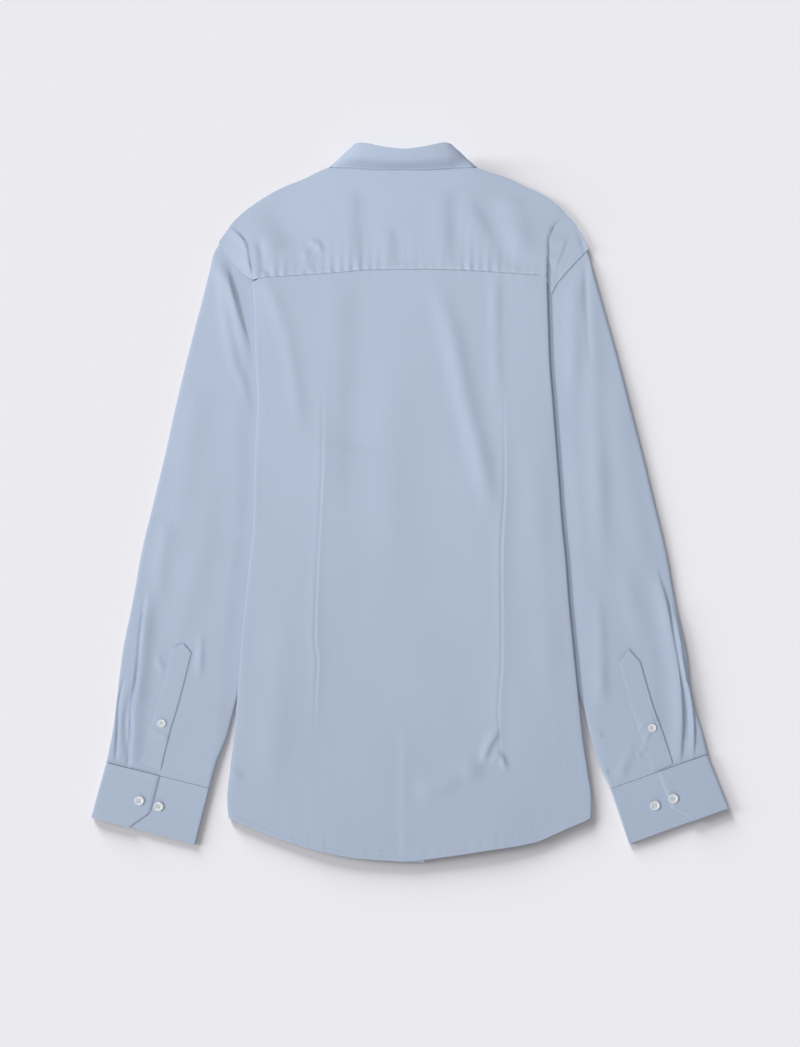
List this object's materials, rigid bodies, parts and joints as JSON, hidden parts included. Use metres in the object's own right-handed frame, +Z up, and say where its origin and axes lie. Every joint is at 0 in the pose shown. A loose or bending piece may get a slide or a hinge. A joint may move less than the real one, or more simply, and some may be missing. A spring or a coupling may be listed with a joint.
{
  "type": "long sleeve dress shirt",
  "caption": "Pale blue long sleeve dress shirt laid flat face down, sides turned under, sleeves alongside, collar and cuffs buttoned.",
  "frame": {"origin": "on the surface it lies on, under the middle of its outline", "axes": "+X to the viewer's right across the shirt, +Y from hem to collar, +Z up from the surface, through the front to the back"},
  "size_m": [0.714, 0.8036, 0.0373],
  "materials": {
    "poplin": "fine smooth cotton poplin, pale blue, pressed",
    "button": "moulded pearly white polyester, polished"
  },
  "bodies": {
    "root": {"back_panel": "poplin", "back_yoke": "poplin", "front_left": "poplin", "front_right": "poplin", "front_placket": "poplin", "collar_stand": "poplin", "collar_leaf": "poplin", "sleeve_left": "poplin", "sleeve_placket_left": "poplin", "cuff_left": "poplin", "sleeve_right": "poplin", "sleeve_placket_right": "poplin", "cuff_right": "poplin", "button_cuff_left_outer": "button", "button_cuff_left_inner": "button", "button_cuff_right_outer": "button", "button_cuff_right_inner": "button", "button_sleeve_left": "button", "button_sleeve_right": "button", "button_front_1": "button", "button_front_2": "button", "button_front_3": "button", "button_front_4": "button", "button_front_5": "button", "button_front_6": "button", "button_front_7": "button"}
  },
  "joints": []
}
